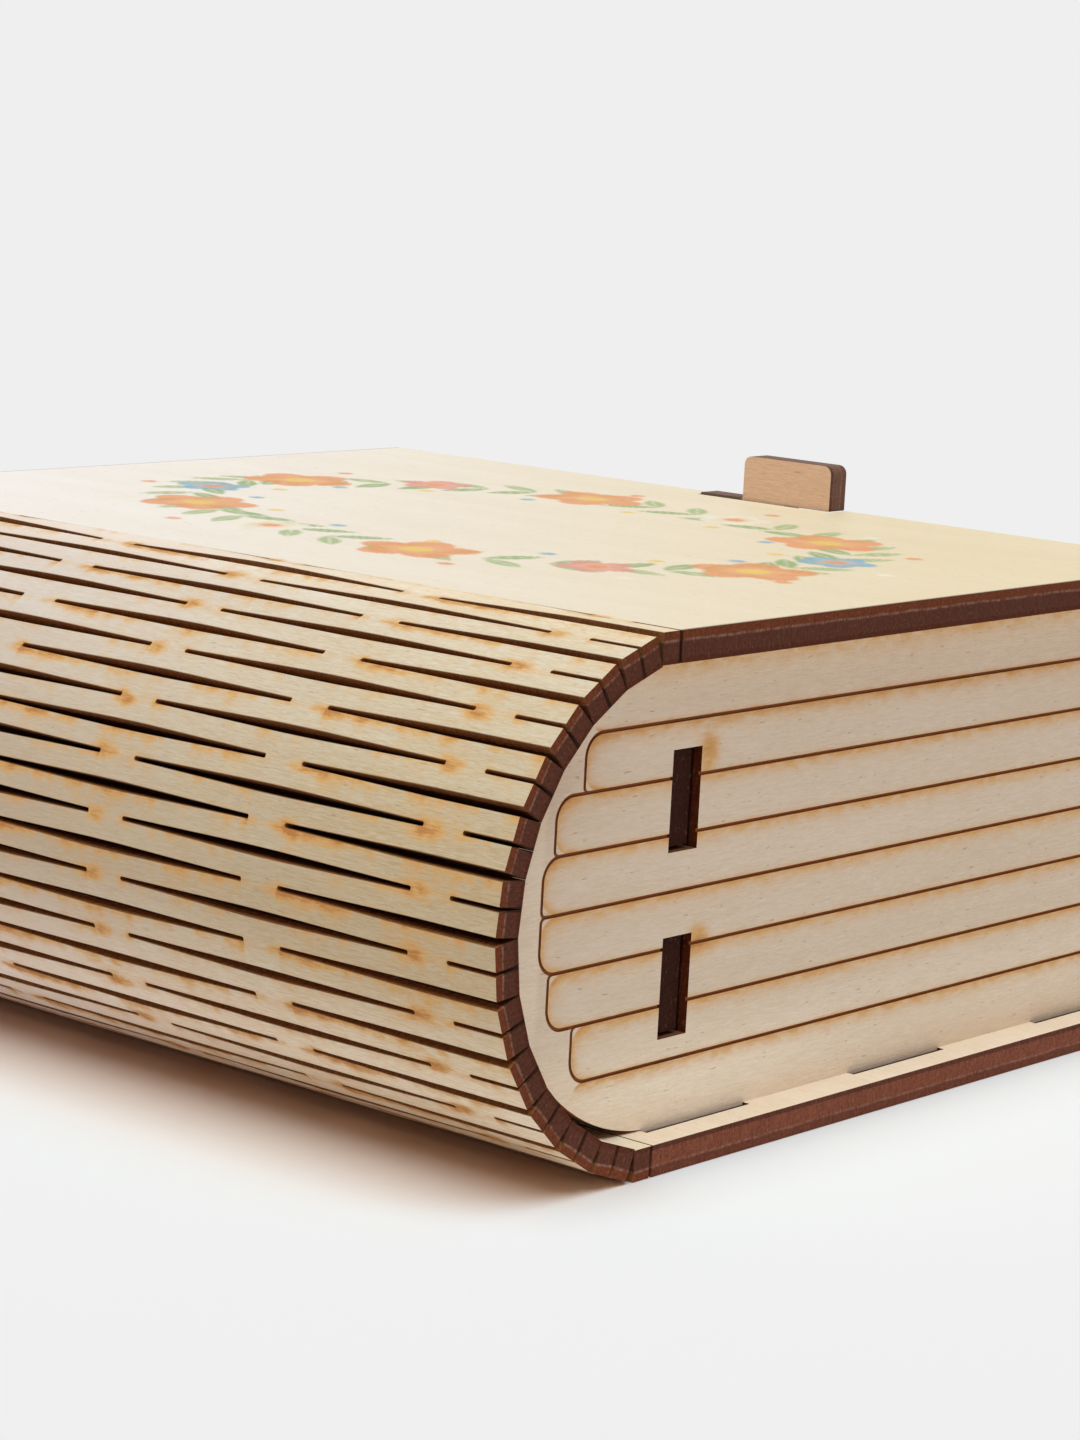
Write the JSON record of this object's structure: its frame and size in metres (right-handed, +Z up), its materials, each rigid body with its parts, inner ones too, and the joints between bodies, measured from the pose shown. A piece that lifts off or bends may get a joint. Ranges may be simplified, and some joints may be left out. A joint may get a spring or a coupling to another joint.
{
  "type": "book-shaped box",
  "caption": "Small book-shaped plywood keepsake box: a slit living-hinge spine joins the lid to the base, with walls inside and a sliding latch hook at the fore-edge.",
  "frame": {"origin": "under the middle of the closed box, on the plane that the back cover rests on", "axes": "+Z up, +X from the rounded spine to the fore-edge, +Y from the tail end to the head end"},
  "size_m": [0.1142, 0.1194, 0.0557],
  "materials": {
    "birch_ply": "raw birch plywood with burnt laser-cut edges",
    "printed_ply": "plywood with a pale print on its outer face",
    "tan_ply": "tan plywood with burnt laser-cut edges"
  },
  "bodies": {
    "base": {"back_cover": "birch_ply", "tail_panel": "birch_ply", "head_panel": "birch_ply", "spine_wall": "birch_ply", "fore_edge_wall": "birch_ply", "hinge_stave_26": "birch_ply"},
    "stave_25": {"hinge_stave_25": "birch_ply"},
    "stave_24": {"hinge_stave_24": "birch_ply"},
    "stave_23": {"hinge_stave_23": "birch_ply"},
    "stave_22": {"hinge_stave_22": "birch_ply"},
    "stave_21": {"hinge_stave_21": "birch_ply"},
    "stave_20": {"hinge_stave_20": "birch_ply"},
    "stave_19": {"hinge_stave_19": "birch_ply"},
    "stave_18": {"hinge_stave_18": "birch_ply"},
    "stave_17": {"hinge_stave_17": "birch_ply"},
    "stave_16": {"hinge_stave_16": "birch_ply"},
    "stave_15": {"hinge_stave_15": "birch_ply"},
    "stave_14": {"hinge_stave_14": "birch_ply"},
    "stave_13": {"hinge_stave_13": "birch_ply"},
    "stave_12": {"hinge_stave_12": "birch_ply"},
    "stave_11": {"hinge_stave_11": "birch_ply"},
    "stave_10": {"hinge_stave_10": "birch_ply"},
    "stave_09": {"hinge_stave_09": "birch_ply"},
    "stave_08": {"hinge_stave_08": "birch_ply"},
    "stave_07": {"hinge_stave_07": "birch_ply"},
    "stave_06": {"hinge_stave_06": "birch_ply"},
    "stave_05": {"hinge_stave_05": "birch_ply"},
    "stave_04": {"hinge_stave_04": "birch_ply"},
    "stave_03": {"hinge_stave_03": "birch_ply"},
    "stave_02": {"hinge_stave_02": "birch_ply"},
    "stave_01": {"hinge_stave_01": "birch_ply"},
    "lid": {"front_cover": "printed_ply"},
    "latch": {"latch_hook": "tan_ply", "latch_keeper": "tan_ply", "latch_link": "tan_ply"}
  },
  "joints": [
    {"name": "stave_twist_26", "type": "hinge", "parent": "base", "child": "stave_25", "pos_m": [-0.03529, 0, 0.0015], "axis": [0, -1, 0], "range_deg": [0, 12.5]},
    {"name": "stave_twist_25", "type": "hinge", "parent": "stave_25", "child": "stave_24", "pos_m": [-0.03794, 0, 0.00209], "axis": [0, -1, 0], "range_deg": [0, 6.46]},
    {"name": "stave_twist_24", "type": "hinge", "parent": "stave_24", "child": "stave_23", "pos_m": [-0.0405, 0, 0.00297], "axis": [0, -1, 0], "range_deg": [0, 6.46]},
    {"name": "stave_twist_23", "type": "hinge", "parent": "stave_23", "child": "stave_22", "pos_m": [-0.04295, 0, 0.00413], "axis": [0, -1, 0], "range_deg": [0, 6.46]},
    {"name": "stave_twist_22", "type": "hinge", "parent": "stave_22", "child": "stave_21", "pos_m": [-0.04525, 0, 0.00556], "axis": [0, -1, 0], "range_deg": [0, 6.46]},
    {"name": "stave_twist_21", "type": "hinge", "parent": "stave_21", "child": "stave_20", "pos_m": [-0.04738, 0, 0.00724], "axis": [0, -1, 0], "range_deg": [0, 6.46]},
    {"name": "stave_twist_20", "type": "hinge", "parent": "stave_20", "child": "stave_19", "pos_m": [-0.04931, 0, 0.00915], "axis": [0, -1, 0], "range_deg": [0, 6.46]},
    {"name": "stave_twist_19", "type": "hinge", "parent": "stave_19", "child": "stave_18", "pos_m": [-0.051, 0, 0.01127], "axis": [0, -1, 0], "range_deg": [0, 6.46]},
    {"name": "stave_twist_18", "type": "hinge", "parent": "stave_18", "child": "stave_17", "pos_m": [-0.05245, 0, 0.01356], "axis": [0, -1, 0], "range_deg": [0, 6.46]},
    {"name": "stave_twist_17", "type": "hinge", "parent": "stave_17", "child": "stave_16", "pos_m": [-0.05363, 0, 0.016], "axis": [0, -1, 0], "range_deg": [0, 6.46]},
    {"name": "stave_twist_16", "type": "hinge", "parent": "stave_16", "child": "stave_15", "pos_m": [-0.05453, 0, 0.01856], "axis": [0, -1, 0], "range_deg": [0, 6.46]},
    {"name": "stave_twist_15", "type": "hinge", "parent": "stave_15", "child": "stave_14", "pos_m": [-0.05514, 0, 0.0212], "axis": [0, -1, 0], "range_deg": [0, 6.46]},
    {"name": "stave_twist_14", "type": "hinge", "parent": "stave_14", "child": "stave_13", "pos_m": [-0.05544, 0, 0.02389], "axis": [0, -1, 0], "range_deg": [0, 6.46]},
    {"name": "stave_twist_13", "type": "hinge", "parent": "stave_13", "child": "stave_12", "pos_m": [-0.05544, 0, 0.02661], "axis": [0, -1, 0], "range_deg": [0, 6.46]},
    {"name": "stave_twist_12", "type": "hinge", "parent": "stave_12", "child": "stave_11", "pos_m": [-0.05514, 0, 0.0293], "axis": [0, -1, 0], "range_deg": [0, 6.46]},
    {"name": "stave_twist_11", "type": "hinge", "parent": "stave_11", "child": "stave_10", "pos_m": [-0.05453, 0, 0.03194], "axis": [0, -1, 0], "range_deg": [0, 6.46]},
    {"name": "stave_twist_10", "type": "hinge", "parent": "stave_10", "child": "stave_09", "pos_m": [-0.05363, 0, 0.0345], "axis": [0, -1, 0], "range_deg": [0, 6.46]},
    {"name": "stave_twist_09", "type": "hinge", "parent": "stave_09", "child": "stave_08", "pos_m": [-0.05245, 0, 0.03694], "axis": [0, -1, 0], "range_deg": [0, 6.46]},
    {"name": "stave_twist_08", "type": "hinge", "parent": "stave_08", "child": "stave_07", "pos_m": [-0.051, 0, 0.03923], "axis": [0, -1, 0], "range_deg": [0, 6.46]},
    {"name": "stave_twist_07", "type": "hinge", "parent": "stave_07", "child": "stave_06", "pos_m": [-0.04931, 0, 0.04135], "axis": [0, -1, 0], "range_deg": [0, 6.46]},
    {"name": "stave_twist_06", "type": "hinge", "parent": "stave_06", "child": "stave_05", "pos_m": [-0.04738, 0, 0.04326], "axis": [0, -1, 0], "range_deg": [0, 6.46]},
    {"name": "stave_twist_05", "type": "hinge", "parent": "stave_05", "child": "stave_04", "pos_m": [-0.04525, 0, 0.04494], "axis": [0, -1, 0], "range_deg": [0, 6.46]},
    {"name": "stave_twist_04", "type": "hinge", "parent": "stave_04", "child": "stave_03", "pos_m": [-0.04295, 0, 0.04637], "axis": [0, -1, 0], "range_deg": [0, 6.46]},
    {"name": "stave_twist_03", "type": "hinge", "parent": "stave_03", "child": "stave_02", "pos_m": [-0.0405, 0, 0.04753], "axis": [0, -1, 0], "range_deg": [0, 6.46]},
    {"name": "stave_twist_02", "type": "hinge", "parent": "stave_02", "child": "stave_01", "pos_m": [-0.03794, 0, 0.04841], "axis": [0, -1, 0], "range_deg": [0, 6.46]},
    {"name": "stave_twist_01", "type": "hinge", "parent": "stave_01", "child": "lid", "pos_m": [-0.03529, 0, 0.049], "axis": [0, -1, 0], "range_deg": [0, 12.5]},
    {"name": "latch_slide", "type": "slide", "parent": "base", "child": "latch", "axis": [0, -1, 0], "range_m": [0, 0.0062]}
  ],
  "couplings": [
    {"joint": "stave_twist_25", "follows": "stave_twist_26", "ratio": 0.51667},
    {"joint": "stave_twist_24", "follows": "stave_twist_26", "ratio": 0.51667},
    {"joint": "stave_twist_23", "follows": "stave_twist_26", "ratio": 0.51667},
    {"joint": "stave_twist_22", "follows": "stave_twist_26", "ratio": 0.51667},
    {"joint": "stave_twist_21", "follows": "stave_twist_26", "ratio": 0.51667},
    {"joint": "stave_twist_20", "follows": "stave_twist_26", "ratio": 0.51667},
    {"joint": "stave_twist_19", "follows": "stave_twist_26", "ratio": 0.51667},
    {"joint": "stave_twist_18", "follows": "stave_twist_26", "ratio": 0.51667},
    {"joint": "stave_twist_17", "follows": "stave_twist_26", "ratio": 0.51667},
    {"joint": "stave_twist_16", "follows": "stave_twist_26", "ratio": 0.51667},
    {"joint": "stave_twist_15", "follows": "stave_twist_26", "ratio": 0.51667},
    {"joint": "stave_twist_14", "follows": "stave_twist_26", "ratio": 0.51667},
    {"joint": "stave_twist_13", "follows": "stave_twist_26", "ratio": 0.51667},
    {"joint": "stave_twist_12", "follows": "stave_twist_26", "ratio": 0.51667},
    {"joint": "stave_twist_11", "follows": "stave_twist_26", "ratio": 0.51667},
    {"joint": "stave_twist_10", "follows": "stave_twist_26", "ratio": 0.51667},
    {"joint": "stave_twist_09", "follows": "stave_twist_26", "ratio": 0.51667},
    {"joint": "stave_twist_08", "follows": "stave_twist_26", "ratio": 0.51667},
    {"joint": "stave_twist_07", "follows": "stave_twist_26", "ratio": 0.51667},
    {"joint": "stave_twist_06", "follows": "stave_twist_26", "ratio": 0.51667},
    {"joint": "stave_twist_05", "follows": "stave_twist_26", "ratio": 0.51667},
    {"joint": "stave_twist_04", "follows": "stave_twist_26", "ratio": 0.51667},
    {"joint": "stave_twist_03", "follows": "stave_twist_26", "ratio": 0.51667},
    {"joint": "stave_twist_02", "follows": "stave_twist_26", "ratio": 0.51667},
    {"joint": "stave_twist_01", "follows": "stave_twist_26", "ratio": 1}
  ]
}
